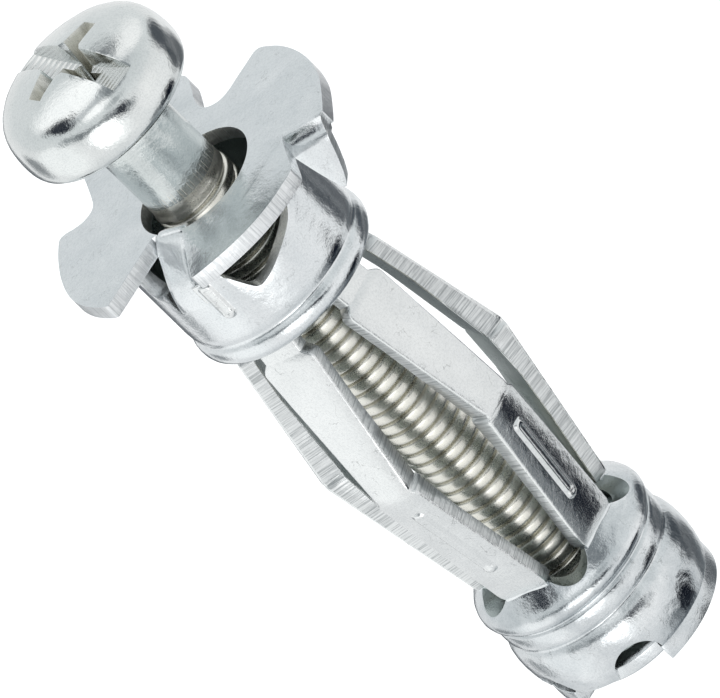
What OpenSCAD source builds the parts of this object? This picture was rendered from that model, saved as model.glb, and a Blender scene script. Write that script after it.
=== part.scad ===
// Hollow-wall anchor: folding sheet-metal sleeve, threaded nut and pan-head machine screw.
// Millimetres. +Z runs along the screw towards its head. Z = 0 is the face of the
// flange that rests on the wall; X = 0, Y = 0 is the screw's axis.

/* [Sheet] */
// Sheet thickness of the sleeve
sheet = 0.9; // [0.8:0.05:1.0]

/* [Flange] */
// Radius of the two side lobes
lobe_r = 8.6; // [8.4:0.1:9.0]
// Radius of the back lobe
back_lobe_r = 9.4; // [9.0:0.1:9.8]
// Radius of the short front lobe
front_lobe_r = 8.4; // [8.0:0.1:8.7]
// Radius of the hole the screw passes
hole_r = 3.5; // [3.3:0.1:3.7]
// How far the bent-down claw reaches below the flange
claw_drop = 3.0; // [2.4:0.1:3.5]

/* [Collar] */
// Outer radius of the collar that fills the drilled hole
collar_r = 5.5; // [5.4:0.05:5.55]
// Outer radius of the rolled bead at the collar's end
collar_bead_r = 5.62; // [5.58:0.02:5.7]
// Distance from the flange to the legs' root fold
root_z = 7.6; // [7.6:0.1:8.0]

/* [Legs] */
// Height of one half of a leg, root fold to knee
half_h = 10.3; // [9.5:0.1:11.5]
// Pre-bulge angle of each half leg
lean = 10.8; // [9.0:0.2:12.0]
// Outer radius of the legs at their root and foot folds
fold_r = 4.36; // [4.3:0.02:4.5]
// Half width of a leg at its root
root_hw = 1.68; // [1.5:0.02:1.8]
// Half width of a leg at its knee
knee_hw = 1.12; // [1.0:0.02:1.3]
// Half width of a leg at its foot
foot_hw = 1.54; // [1.4:0.02:1.7]

/* [Tail] */
// Greatest radius of the sleeve's tail
tail_r = 5.65; // [5.6:0.05:5.8]
// Length of the sleeve's tail below the foot fold
tail_len = 6.8; // [6.6:0.1:7.2]
// Radius of the nut's end lips
lip_r = 5.38; // [5.3:0.04:5.46]

/* [Screw] */
// Screw thread outer diameter
thread_d = 4.84; // [4.8:0.02:4.9]
// Screw thread pitch
pitch = 0.8; // [0.8:0.1:0.8]
// Diameter of the plain neck
neck_d = 4.6; // [4.5:0.02:4.7]
// Height of the head's underside above the flange's wall side
head_z = 6.9; // [3.0:0.1:8.0]
// Greatest radius of the pan head
head_r = 5.18; // [5.0:0.02:5.3]
// Height of the pan head
head_h = 4.15; // [4.0:0.05:4.4]
// Length under the head
screw_len = 43; // [40:0.5:45]
// Direction of the driving slot
slot_az = 24; // [0:1:90]

/* [Hidden] */

zinc = [0.80, 0.82, 0.85];
zinc_in = [0.70, 0.73, 0.76];
steel = [0.76, 0.75, 0.70];

gap = 0.06;                                  // working gap at each fold
knee_z = -root_z - half_h;
foot_z = -root_z - 2 * half_h;
face_len = half_h / cos(lean);
tail_z = foot_z - tail_len;
neck_r = neck_d / 2;
thread_r = thread_d / 2;
core_r = thread_r - 0.46;
tip_z = head_z - screw_len;
bore_r = thread_r + 0.05;

function leg_az(k) = 36 + 72 * (k - 1);

// wedge of a disc, used to pick out one range of directions
module sector(a0, a1, r, z0, z1) {
    rotate([0, 0, (a0 + a1) / 2])
        translate([0, 0, z0])
            linear_extrude(z1 - z0)
                polygon([[0, 0],
                         [r * cos((a1 - a0) / 2), -r * sin((a1 - a0) / 2)],
                         [r, 0],
                         [r * cos((a1 - a0) / 2), r * sin((a1 - a0) / 2)]]);
}

// prism through the wall in direction az; its outline is given as [across, height]
module wall_cut(az, pts, r0, r1) {
    rotate([0, 0, az])
        rotate([90, 0, 90])
            translate([0, 0, r0])
                linear_extrude(r1 - r0)
                    polygon(pts);
}

module flange_plate() {
    difference() {
        union() {
            // side lobes and the plate around the hole
            intersection() {
                translate([0, 0.3, 0]) cylinder(r = lobe_r, h = sheet, $fn = 120);
                translate([-20, -20, -1]) cube([26, 40, sheet + 2]);
            }
            // back lobe
            intersection() {
                cylinder(r = back_lobe_r, h = sheet, $fn = 120);
                linear_extrude(sheet)
                    polygon([[-3, -4.7], [-5.0, -4.63], [-12, -4.0], [-12, 3.3],
                             [-8, 3.15], [-6, 2.8], [-3, 2.8]]);
            }
            // front lobe
            intersection() {
                cylinder(r = front_lobe_r, h = sheet, $fn = 120);
                linear_extrude(sheet)
                    polygon([[2, -1.6], [3.67, -1.58], [8.08, -2.6], [9.5, -2.95],
                             [9.5, 4.6], [6.95, 4.87], [3.95, 5.3], [2, 5.2]]);
            }
        }
        // hole
        translate([0.55, 0.4, -1]) cylinder(r = hole_r, h = sheet + 2, $fn = 96);
        // notch between the back and right lobes
        translate([0, 0, -1]) linear_extrude(sheet + 2)
            polygon([[-4.9, 2.87], [-6, 2.8], [-8, 3.15], [-12, 3.4], [-12, 9.6],
                     [-5.3, 7.2], [-4.85, 6.0], [-4.1, 4.6]]);
        translate([-4.97, 3.9, -1]) cylinder(r = 1.0, h = sheet + 2, $fn = 48);
        // notch between the back and left lobes
        translate([0, 0, -1]) linear_extrude(sheet + 2)
            polygon([[-5.03, -4.63], [-12, -4.1], [-12, -9.0], [-4.95, -7.2], [-4.75, -6.3]]);
        translate([-5.3, -5.5, -1]) cylinder(r = 0.8, h = sheet + 2, $fn = 40);
        // slit between the left lobe and the front lobe, where the finger stands
        translate([0, 0, -1]) linear_extrude(sheet + 2)
            polygon([[1.9, -2.9], [2.0, -3.08], [4.08, -7.0], [6.5, -12], [14, -12],
                     [14, -3.9], [8.08, -2.6], [3.67, -1.58], [2.2, -1.6]]);
        // shallow step, so that only the part outside the collar bears on the wall
        translate([0, 0, -1]) cylinder(r = collar_r + 0.1, h = 1.05, $fn = 120);
        // corner cleared by the claw, in front of its fold line
        translate([0, 0, -1]) linear_extrude(sheet + 2)
            polygon([[3.95, 5.3], [5.05, 7.66], [7, 12], [14, 12], [14, 3.7], [6.95, 4.87]]);
    }
}

// claw: the right lobe's end, bent straight down along a near-radial line
module claw() {
    translate([3.95, 5.3, 0])
        rotate([90, 0, 65])
            translate([0, 0, -0.25])
                linear_extrude(sheet)
                    polygon([[0.0, sheet], [2.5, sheet], [2.45, -0.2],
                             [1.7, -claw_drop * 0.7], [1.22, -claw_drop],
                             [0.98, -claw_drop], [0.8, -claw_drop * 0.88],
                             [0.45, -claw_drop * 0.5], [0.0, 0.25]]);
}

// finger: a strip of the collar wall that leans in to the edge of the hole
module finger() {
    rotate([0, 0, -45.5])
        translate([0, 1.08, 0])
            rotate([90, 0, 0])
                linear_extrude(2.16)
                    polygon([[5.5, -3.3], [5.48, -2.9], [5.3, -2.1], [4.95, -1.3],
                             [4.42, -0.45], [4.05, 0.15], [3.85, 0.6], [3.7, 0.9],
                             [3.35, 1.02], [3.0, 0.85], [3.05, 0.45], [3.3, -0.2],
                             [3.65, -0.85], [4.1, -1.6], [4.45, -2.4], [4.6, -3.0], [4.6, -3.3]]);
}

// hairpin rib pressed out of the sheet; lies on the plane Z = 0, runs along -Y
module hairpin(len, w, h) {
    for (s = [-1, 1])
        translate([s * w / 2 - 0.13, -len, -0.2]) cube([0.26, len, h + 0.2]);
    translate([0, -len, -0.2])
        cylinder(r = w / 2 + 0.13, h = h + 0.2, $fn = 32);
}

module collar_wall() {
    difference() {
        rotate_extrude($fn = 120)
            polygon([[collar_r - sheet, 0.3], [collar_r, 0.3],
                     [collar_r, -5.55], [collar_r - 0.1, -5.8], [collar_r - 0.12, -6.02],
                     [collar_bead_r - 0.08, -6.25], [collar_bead_r, -6.55],
                     [collar_bead_r, -6.85], [collar_bead_r - 0.14, -7.15],
                     [collar_bead_r - 0.45, -7.38], [4.9, -7.48], [fold_r, -root_z + gap],
                     [fold_r - sheet, -root_z + gap], [fold_r - sheet + 0.02, -7.3],
                     [collar_r - sheet - 0.35, -6.75], [collar_r - sheet - 0.08, -6.4],
                     [collar_r - sheet - 0.14, -5.9], [collar_r - sheet, -5.5]]);
        // opening under the front lobe
        wall_cut(10, [[-2.8, 1], [-2.57, -1.6], [-2.35, -2.1], [-2.13, -2.6], [-1.8, -3.3],
                      [-1.5, -3.5], [-0.58, -3.3], [0.42, -2.86], [1.38, -2.43],
                      [1.97, -2.08], [2.58, -1.2], [2.85, 1]], 2, 7);
        // room for the finger, which leans in from here
        wall_cut(-46.5, [[-1.6, 1], [-1.5, -1.8], [-1.3, -2.9], [1.4, -2.9], [1.5, -1.2], [1.6, 1]], 3.2, 7);
        // slit on the finger's far side
        wall_cut(-65, [[-0.5, 1], [-0.35, -1.1], [0.3, -1.7], [0.7, 1]], 3.2, 7);
    }
}

module sleeve_collar() {
    color(zinc) {
        difference() {
            union() {
                flange_plate();
                claw();
                finger();
                collar_wall();
                // rib pressed into the wall at the finger's foot
                rotate([0, 0, -30.2])
                    translate([collar_r - 0.08, 0, -1.2])
                        rotate([90, 0, 90])
                            hairpin(2.4, 0.6, 0.2);
            }
            // screw passage
            translate([0, 0, -9]) cylinder(r = 2.75, h = 12, $fn = 72);
        }
    }
}

// One half leg as a flat plate. Origin at the fold on its outer face, plate hangs
// along -Z, outward is +X; sgn = 1 leans out going down, -1 leans in.
module upper_leg(k) {
    color(zinc)
        rotate([0, 0, leg_az(k)])
            difference() {
                translate([fold_r, 0, -root_z])
                    rotate([0, -lean, 0])
                        translate([-sheet, 0, 0])
                            rotate([90, 0, 90])
                                linear_extrude(sheet)
                                    polygon([[-1.2, 0.4], [1.2, 0.4], [1.2, -1.0],
                                             [root_hw - 0.12, -1.35], [root_hw, -1.55],
                                             [knee_hw + 0.05, -face_len + 0.45],
                                             [knee_hw - 0.1, -face_len - 0.4],
                                             [-knee_hw + 0.1, -face_len - 0.4],
                                             [-knee_hw - 0.05, -face_len + 0.45],
                                             [-root_hw, -1.55], [-root_hw + 0.12, -1.35],
                                             [-1.2, -1.0]]);
                // mitred ends
                translate([0, -4, -root_z - gap]) cube([9, 8, 2]);
                translate([0, -4, knee_z - 2 + gap / 2]) cube([9, 8, 2]);
            }
}

module lower_leg(k) {
    color(zinc)
        rotate([0, 0, leg_az(k)])
            difference() {
                translate([fold_r, 0, foot_z])
                    rotate([0, lean, 0]) {
                        translate([-sheet, 0, 0])
                            rotate([90, 0, 90])
                                linear_extrude(sheet)
                                    polygon([[-foot_hw + 0.1, -0.4], [foot_hw - 0.1, -0.4],
                                             [foot_hw, 0.35],
                                             [knee_hw + 0.2, face_len - 0.5],
                                             [knee_hw, face_len - 0.15],
                                             [knee_hw - 0.1, face_len + 0.4],
                                             [-knee_hw + 0.1, face_len + 0.4],
                                             [-knee_hw, face_len - 0.15],
                                             [-knee_hw - 0.2, face_len - 0.5],
                                             [-foot_hw, 0.35]]);
                        // long hairpin rib, rounded at the foot end
                        translate([0, 0, face_len - 1.9])
                            rotate([90, 0, 90])
                                hairpin(5.9, 0.62, 0.2);
                    }
                translate([0, -4, knee_z - gap / 2]) cube([9, 8, 2]);
                translate([0, -4, foot_z - 2 + gap]) cube([9, 8, 2]);
            }
}

module upper_leg_1() { upper_leg(1); }
module upper_leg_2() { upper_leg(2); }
module upper_leg_3() { upper_leg(3); }
module upper_leg_4() { upper_leg(4); }
module upper_leg_5() { upper_leg(5); }
module lower_leg_1() { lower_leg(1); }
module lower_leg_2() { lower_leg(2); }
module lower_leg_3() { lower_leg(3); }
module lower_leg_4() { lower_leg(4); }
module lower_leg_5() { lower_leg(5); }

module sleeve_tail() {
    f = foot_z;
    color(zinc)
        difference() {
            rotate_extrude($fn = 120)
                polygon([[fold_r - sheet, f - gap], [fold_r, f - gap],
                         [4.8, f - 0.42], [5.27, f - 0.85], [5.48, f - 1.15],
                         [5.56, f - 1.45], [5.5, f - 1.75], [5.22, f - 2.0],
                         [5.22, f - 2.15], [5.33, f - 2.3], [5.33, f - 3.2],
                         [5.23, f - 3.45], [5.48, f - 3.8], [tail_r, f - 4.4],
                         [tail_r - 0.03, f - 5.4], [tail_r - 0.12, f - 6.1],
                         [lip_r, tail_z],
                         [lip_r - sheet, tail_z], [4.6, f - 5.9], [4.62, f - 4.5],
                         [4.45, f - 3.9], [4.2, f - 3.5], [4.2, f - 2.1],
                         [4.42, f - 1.75], [4.42, f - 1.3], [4.15, f - 0.95],
                         [fold_r - sheet + 0.1, f - 0.4]]);
            // slots between the legs run a little way into the shoulder
            for (i = [0 : 4])
                rotate([0, 0, 72 * i])
                    translate([2.5, 0, f + 0.55])
                        rotate([0, 90, 0])
                            cylinder(r = 1.3, h = 4.5, $fn = 48);
            // notches between the crimped petals
            for (a = [-9, -69, 111, 171])
                rotate([0, 0, a])
                    translate([3, 0, tail_z + 0.05])
                        rotate([0, 90, 0])
                            cylinder(r = 1.4, h = 4, $fn = 48);
        }
}

module threaded_nut() {
    color(zinc_in)
        difference() {
            union() {
                // body gripped by the tail
                translate([0, 0, tail_z - 0.02])
                    cylinder(r = 4.12, h = tail_len - 2.4, $fn = 96);
                translate([0, 0, tail_z + tail_len - 2.42])
                    cylinder(r1 = 4.12, r2 = 3.5, h = 0.35, $fn = 96);
                // end lips that the petals are crimped on to
                difference() {
                    translate([0, 0, tail_z - 1.05])
                        cylinder(r = lip_r - 0.02, h = 1.03, $fn = 120);
                    sector(-60, 5, 12, tail_z - 2, tail_z + 1);
                    sector(120, 185, 12, tail_z - 2, tail_z + 1);
                }
                translate([0, 0, tail_z - 1.05])
                    cylinder(r = 4.12, h = 1.1, $fn = 96);
            }
            // threaded bore and its lead-in chamfers
            translate([0, 0, tail_z - 3]) cylinder(r = bore_r, h = 12, $fn = 72);
            translate([0, 0, tail_z - 1.1])
                cylinder(r1 = bore_r + 0.5, r2 = bore_r, h = 0.5, $fn = 72);
        }
}

module screw() {
    z1 = 0.85;                               // neck ends, thread starts
    n = floor((z1 - tip_z - 1.1) / pitch);
    color(steel)
        difference() {
            union() {
                // pan head
                translate([0, 0, head_z])
                    rotate_extrude($fn = 120)
                        polygon([[0, 0], [head_r - 0.42, 0], [head_r - 0.2, 0.14],
                                 [head_r - 0.06, 0.42], [head_r, 0.85],
                                 [head_r, 1.3], [head_r - 0.05, 1.8],
                                 [head_r - 0.15, 2.3], [head_r - 0.34, 2.7],
                                 [head_r - 0.65, 3.05], [head_r - 1.1, 3.35],
                                 [head_r - 1.7, 3.6], [head_r - 2.4, 3.8],
                                 [head_r - 3.2, 3.97], [head_r - 4.1, head_h - 0.07], [0, head_h]]);
                // neck, shoulder, thread as ring grooves, pointed end
                rotate_extrude($fn = 96)
                    polygon(concat(
                        [[0, tip_z], [core_r - 0.25, tip_z], [core_r, tip_z + 0.5]],
                        [for (i = [n : -1 : 0]) for (j = [0 : 3])
                            let (zc = z1 - 0.35 - i * pitch)
                            j == 0 ? [core_r, zc - 0.34] :
                            j == 1 ? [thread_r, zc - 0.07] :
                            j == 2 ? [thread_r, zc + 0.07] : [core_r, zc + 0.34]],
                        [[core_r, z1 + 0.12], [neck_r - 0.12, z1 + 0.3],
                         [neck_r, z1 + 0.6], [neck_r, head_z - 0.25],
                         [neck_r + 0.25, head_z], [neck_r + 0.25, head_z + 0.5], [0, head_z + 0.5]]));
            }
            // driving slot
            translate([0, 0, head_z + head_h - 1.55])
                rotate([0, 0, slot_az])
                    translate([-7, -0.75, 0]) cube([14, 1.5, 4]);
            // cross recess, tapering down
            for (a = [0, 90])
                translate([0, 0, head_z + head_h + 0.2])
                    rotate([0, 0, slot_az + a])
                        rotate([90, 0, 0])
                            translate([0, 0, -0.5])
                                linear_extrude(1.0)
                                    polygon([[-3.1, 0], [3.1, 0], [2.75, -0.9], [1.05, -2.9],
                                             [0, -3.2], [-1.05, -2.9], [-2.75, -0.9]]);
            translate([0, 0, head_z + head_h - 2.9])
                cylinder(r1 = 0.4, r2 = 1.45, h = 3.2, $fn = 40);
        }
}

screw();
sleeve_collar();
upper_leg_1();
upper_leg_2();
upper_leg_3();
upper_leg_4();
upper_leg_5();
lower_leg_1();
lower_leg_2();
lower_leg_3();
lower_leg_4();
lower_leg_5();
sleeve_tail();
threaded_nut();
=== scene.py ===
import bpy, bmesh, math
import numpy as np
from mathutils import Vector, Matrix, noise


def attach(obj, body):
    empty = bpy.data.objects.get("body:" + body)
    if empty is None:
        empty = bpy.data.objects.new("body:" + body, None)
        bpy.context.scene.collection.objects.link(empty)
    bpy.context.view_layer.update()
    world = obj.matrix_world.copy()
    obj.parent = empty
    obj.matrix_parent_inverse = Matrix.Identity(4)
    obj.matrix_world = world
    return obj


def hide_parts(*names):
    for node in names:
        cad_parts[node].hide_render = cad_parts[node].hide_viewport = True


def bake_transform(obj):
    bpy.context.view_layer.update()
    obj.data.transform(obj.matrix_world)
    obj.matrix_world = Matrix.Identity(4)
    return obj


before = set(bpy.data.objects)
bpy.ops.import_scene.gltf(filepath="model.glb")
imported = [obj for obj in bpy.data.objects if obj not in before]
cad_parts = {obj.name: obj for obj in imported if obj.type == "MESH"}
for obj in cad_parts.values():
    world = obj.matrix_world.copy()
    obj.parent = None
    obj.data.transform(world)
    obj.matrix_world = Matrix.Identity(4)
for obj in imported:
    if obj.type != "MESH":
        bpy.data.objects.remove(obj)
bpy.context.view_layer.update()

MM = 0.001
TAU = 2 * math.pi

# ------------------------------------------------------------------ dimensions (mm), as in the solids
SHEET = 0.9
HOLE_R = 3.5
COL_R, BEAD_R = 5.5, 5.62
ROOT_Z, HALF_H, LEAN = -7.6, 10.3, math.radians(10.8)
FOLD_R = 4.36
ROOT_HW, KNEE_HW, FOOT_HW = 1.68, 1.12, 1.54
KNEE_Z, FOOT_Z = ROOT_Z - HALF_H, ROOT_Z - 2 * HALF_H
TAIL_LEN, LIP_R = 6.8, 5.38
TAIL_Z = FOOT_Z - TAIL_LEN
HEAD_Z, HEAD_R, HEAD_H, NECK_R = 6.9, 5.18, 4.15, 2.3
THREAD_R, PITCH = 2.42, 0.8
TIP_Z = HEAD_Z - 43.0
SLOT_AZ = math.radians(24)


def leg_az(i):
    return math.radians(36 + 72 * (i - 1))


# ------------------------------------------------------------------ mesh helpers
def new_obj(name, verts, faces, mats=(), fmat=None, sharp=40):
    me = bpy.data.meshes.new(name)
    me.from_pydata([tuple(float(c) * MM for c in v) for v in verts], [], faces)
    for m in mats:
        me.materials.append(m)
    if fmat is not None:
        me.polygons.foreach_set("material_index", fmat)
    me.validate()
    ob = bpy.data.objects.new(name, me)
    bpy.context.scene.collection.objects.link(ob)
    soft(ob, sharp)
    return ob


def soft(ob, sharp=40):
    """Smooth shading with creases wherever two faces meet at more than sharp degrees."""
    bm = bmesh.new()
    bm.from_mesh(ob.data)
    lim = math.radians(sharp)
    for f in bm.faces:
        f.smooth = True
    for e in bm.edges:
        e.smooth = not (len(e.link_faces) == 2 and e.calc_face_angle(0) > lim)
    bm.to_mesh(ob.data)
    bm.free()


def fix_normals(ob):
    bm = bmesh.new()
    bm.from_mesh(ob.data)
    bmesh.ops.remove_doubles(bm, verts=bm.verts, dist=2e-7)
    bmesh.ops.dissolve_degenerate(bm, edges=bm.edges, dist=1e-7)
    bmesh.ops.recalc_face_normals(bm, faces=bm.faces)
    bm.to_mesh(ob.data)
    bm.free()


def bake(ob):
    """Applies every modifier, so that the piece is its final mesh."""
    dg = bpy.context.evaluated_depsgraph_get()
    dg.update()
    me = bpy.data.meshes.new_from_object(ob.evaluated_get(dg), preserve_all_data_layers=True, depsgraph=dg)
    old = ob.data
    ob.modifiers.clear()
    ob.data = me
    me.name = ob.name
    if old.users == 0:
        bpy.data.meshes.remove(old)
    return ob


def cut(ob, cutters, op="DIFFERENCE"):
    for c in cutters:
        m = ob.modifiers.new("cut", "BOOLEAN")
        m.operation = op
        m.solver = "EXACT"
        m.object = c
        m.material_mode = "TRANSFER"
    bake(ob)
    for c in cutters:
        me = c.data
        bpy.data.objects.remove(c)
        if me.users == 0:
            bpy.data.meshes.remove(me)
    fix_normals(ob)
    return ob


def bevel(ob, width, segments=2, angle=32, profile=0.6):
    m = ob.modifiers.new("bevel", "BEVEL")
    m.width = width * MM
    m.segments = segments
    m.limit_method = "ANGLE"
    m.angle_limit = math.radians(angle)
    m.profile = profile
    m.use_clamp_overlap = True
    m.miter_outer = "MITER_ARC"
    bake(ob)
    return ob


def revolve(name, prof, n=144, mats=(), mat=0, sharp=40, fmats=None):
    """Closed profile [(r, z)] turned about Z; counter-clockwise in (r, z)."""
    P = len(prof)
    verts, faces, fm = [], [], []
    for i in range(n):
        a = TAU * i / n
        for r, z in prof:
            verts.append((r * math.cos(a), r * math.sin(a), z))
    for i in range(n):
        k = (i + 1) % n
        for j in range(P):
            l = (j + 1) % P
            faces.append((i * P + j, k * P + j, k * P + l, i * P + l))
            fm.append(fmats[j] if fmats else mat)
    ob = new_obj(name, verts, faces, mats, fm, sharp)
    fix_normals(ob)
    soft(ob, sharp)
    return ob


def prism(name, pts, z0, z1, mats=(), mat=0, xf=None, side_mat=None):
    """Outline [(x, y)] pulled from z0 to z1, then placed by the 4x4 xf (mm)."""
    n = len(pts)
    verts = [(x, y, z0) for x, y in pts] + [(x, y, z1) for x, y in pts]
    faces = [tuple(range(n))[::-1], tuple(range(n, 2 * n))]
    fm = [mat, mat]
    for i in range(n):
        k = (i + 1) % n
        faces.append((i, k, n + k, n + i))
        fm.append(mat if side_mat is None else side_mat)
    if xf is not None:
        verts = [tuple(xf @ Vector(v)) for v in verts]
    ob = new_obj(name, verts, faces, mats, fm)
    fix_normals(ob)
    return ob


def smooth_outline(pts, per=6, closed=True):
    """Catmull-Rom through the points; a point given as (x, y, 1) stays a corner."""
    P = [np.array(p[:2], float) for p in pts]
    corner = [len(p) > 2 for p in pts]
    n = len(P)
    out = []
    for i in range(n if closed else n - 1):
        p1, p2 = P[i], P[(i + 1) % n]
        p0 = P[(i - 1) % n] if not corner[i] else 2 * p1 - p2
        p3 = P[(i + 2) % n] if not corner[(i + 1) % n] else 2 * p2 - p1
        for k in range(per):
            t = k / per
            out.append(tuple(0.5 * ((2 * p1) + (p2 - p0) * t + (2 * p0 - 5 * p1 + 4 * p2 - p3) * t * t
                                    + (3 * p1 - p0 - 3 * p2 + p3) * t ** 3)))
    return out


def radial_xf(az, r0=0.0, z=0.0):
    """Local (across, up, out) to the frame: looks along the radius at azimuth az."""
    er = Vector((math.cos(az), math.sin(az), 0))
    et = Vector((-math.sin(az), math.cos(az), 0))
    m = Matrix.Identity(4)
    for r in range(3):
        m[r][0], m[r][1], m[r][2] = et[r], (0, 0, 1)[r], er[r]
    o = er * r0 + Vector((0, 0, z))
    for r in range(3):
        m[r][3] = o[r]
    return m


def join(obs, name):
    base = obs[0]
    bm = bmesh.new()
    mats = []
    for o in obs:
        for m in o.data.materials:
            if m not in mats:
                mats.append(m)
    for o in obs:
        idx = [mats.index(m) for m in o.data.materials]
        me = o.data.copy()
        for p in me.polygons:
            p.material_index = idx[p.material_index] if idx else 0
        bm.from_mesh(me)
        bpy.data.meshes.remove(me)
    me = bpy.data.meshes.new(name)
    bm.to_mesh(me)
    bm.free()
    for m in mats:
        me.materials.append(m)
    for o in obs:
        d = o.data
        bpy.data.objects.remove(o)
        if d.users == 0:
            bpy.data.meshes.remove(d)
    ob = bpy.data.objects.new(name, me)
    bpy.context.scene.collection.objects.link(ob)
    return ob


# ------------------------------------------------------------------ materials
def nodes_of(name):
    m = bpy.data.materials.new(name)
    m.use_nodes = True
    nt = m.node_tree
    nt.nodes.clear()
    out = nt.nodes.new("ShaderNodeOutputMaterial")
    b = nt.nodes.new("ShaderNodeBsdfPrincipled")
    nt.links.new(b.outputs["BSDF"], out.inputs["Surface"])
    tc = nt.nodes.new("ShaderNodeTexCoord")
    return m, nt, b, tc


def mapped(nt, tc, scale):
    mp = nt.nodes.new("ShaderNodeMapping")
    mp.inputs["Scale"].default_value = scale
    nt.links.new(tc.outputs["Object"], mp.inputs["Vector"])
    return mp.outputs["Vector"]


def noise_tex(nt, vec, scale, detail=3.0, rough=0.55, dist=0.0):
    n = nt.nodes.new("ShaderNodeTexNoise")
    n.inputs["Scale"].default_value = scale
    n.inputs["Detail"].default_value = detail
    n.inputs["Roughness"].default_value = rough
    n.inputs["Distortion"].default_value = dist
    nt.links.new(vec, n.inputs["Vector"])
    return n.outputs["Fac"]


def ramp(nt, fac, stops):
    r = nt.nodes.new("ShaderNodeValToRGB")
    e = r.color_ramp.elements
    while len(e) < len(stops):
        e.new(0.5)
    for el, (p, c) in zip(e, stops):
        el.position = p
        el.color = c if len(c) == 4 else (*c, 1)
    nt.links.new(fac, r.inputs["Fac"])
    return r.outputs["Color"]


def rng(nt, fac, a0, a1, b0, b1):
    r = nt.nodes.new("ShaderNodeMapRange")
    r.inputs["From Min"].default_value = a0
    r.inputs["From Max"].default_value = a1
    r.inputs["To Min"].default_value = b0
    r.inputs["To Max"].default_value = b1
    nt.links.new(fac, r.inputs["Value"])
    return r.outputs["Result"]


def bump(nt, height, dist, strength, normal=None):
    b = nt.nodes.new("ShaderNodeBump")
    b.inputs["Strength"].default_value = strength
    b.inputs["Distance"].default_value = dist
    nt.links.new(height, b.inputs["Height"])
    if normal is not None:
        nt.links.new(normal, b.inputs["Normal"])
    return b.outputs["Normal"]


def zinc(name, lo, hi, r0, r1, fine=0.35, dents=0.5, scratch=0.25):
    """Bright zinc plating on pressed sheet: cloudy tone, orange-peel grain, shallow dents, broken hairlines."""
    m, nt, b, tc = nodes_of(name)
    b.inputs["Metallic"].default_value = 1.0
    v = mapped(nt, tc, (1, 1, 1))
    cloud = noise_tex(nt, v, 420, 5, 0.6, 0.3)
    speck = noise_tex(nt, v, 9500, 3, 0.65)
    peel = noise_tex(nt, v, 2400, 2, 0.5)
    dent = noise_tex(nt, v, 480, 2, 0.5)
    wire = noise_tex(nt, v, 520, 4, 0.6, 0.2)
    mask = noise_tex(nt, v, 1500, 1, 0.5)
    col = ramp(nt, cloud, [(0.30, lo), (0.70, hi)])
    # hairlines: thin level sets of a warped noise, broken up by a second one
    dif = nt.nodes.new("ShaderNodeMath")
    dif.operation = "SUBTRACT"
    dif.inputs[1].default_value = 0.5
    nt.links.new(wire, dif.inputs[0])
    ab = nt.nodes.new("ShaderNodeMath")
    ab.operation = "ABSOLUTE"
    nt.links.new(dif.outputs[0], ab.inputs[0])
    line = rng(nt, ab.outputs[0], 0.001, 0.010, 1.0, 0.0)
    gate = rng(nt, mask, 0.50, 0.64, 0.0, scratch)
    lm = nt.nodes.new("ShaderNodeMath")
    lm.operation = "MULTIPLY"
    nt.links.new(line, lm.inputs[0])
    nt.links.new(gate, lm.inputs[1])
    mx = nt.nodes.new("ShaderNodeMix")
    mx.data_type = "RGBA"
    nt.links.new(lm.outputs[0], mx.inputs["Factor"])
    nt.links.new(col, mx.inputs[6])
    mx.inputs[7].default_value = (0.22, 0.23, 0.23, 1)
    # grain shows in the tone as well as in the relief
    gx = nt.nodes.new("ShaderNodeMix")
    gx.data_type = "RGBA"
    gx.blend_type = "MULTIPLY"
    gx.inputs["Factor"].default_value = 1.0
    nt.links.new(mx.outputs[2], gx.inputs[6])
    nt.links.new(ramp(nt, speck, [(0.34, (0.90, 0.905, 0.91)), (0.56, (1.0, 1.0, 1.0))]), gx.inputs[7])
    nt.links.new(gx.outputs[2], b.inputs["Base Color"])
    mix = nt.nodes.new("ShaderNodeMath")
    mix.operation = "MULTIPLY"
    nt.links.new(cloud, mix.inputs[0])
    nt.links.new(speck, mix.inputs[1])
    nt.links.new(rng(nt, mix.outputs[0], 0.12, 0.38, r0, r1), b.inputs["Roughness"])
    n1 = bump(nt, dent, 0.00010, dents)
    n2 = bump(nt, peel, 0.000032, fine, n1)
    n3 = bump(nt, speck, 0.000015, fine, n2)
    nt.links.new(n3, b.inputs["Normal"])
    return m


def sheared(name, scale, lo, hi):
    """Cut edge of the sheet: streaks across the thickness, brighter burnished band."""
    m, nt, b, tc = nodes_of(name)
    b.inputs["Metallic"].default_value = 1.0
    v = mapped(nt, tc, scale)
    st = noise_tex(nt, v, 1000, 4, 0.7)
    v2 = mapped(nt, tc, (1, 1, 1))
    gr = noise_tex(nt, v2, 3000, 3, 0.6)
    nt.links.new(ramp(nt, st, [(0.36, lo), (0.56, hi)]), b.inputs["Base Color"])
    nt.links.new(rng(nt, st, 0.3, 0.7, 0.42, 0.26), b.inputs["Roughness"])
    n1 = bump(nt, st, 0.00002, 0.5)
    n2 = bump(nt, gr, 0.00005, 0.5, n1)
    nt.links.new(n2, b.inputs["Normal"])
    return m


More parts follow.
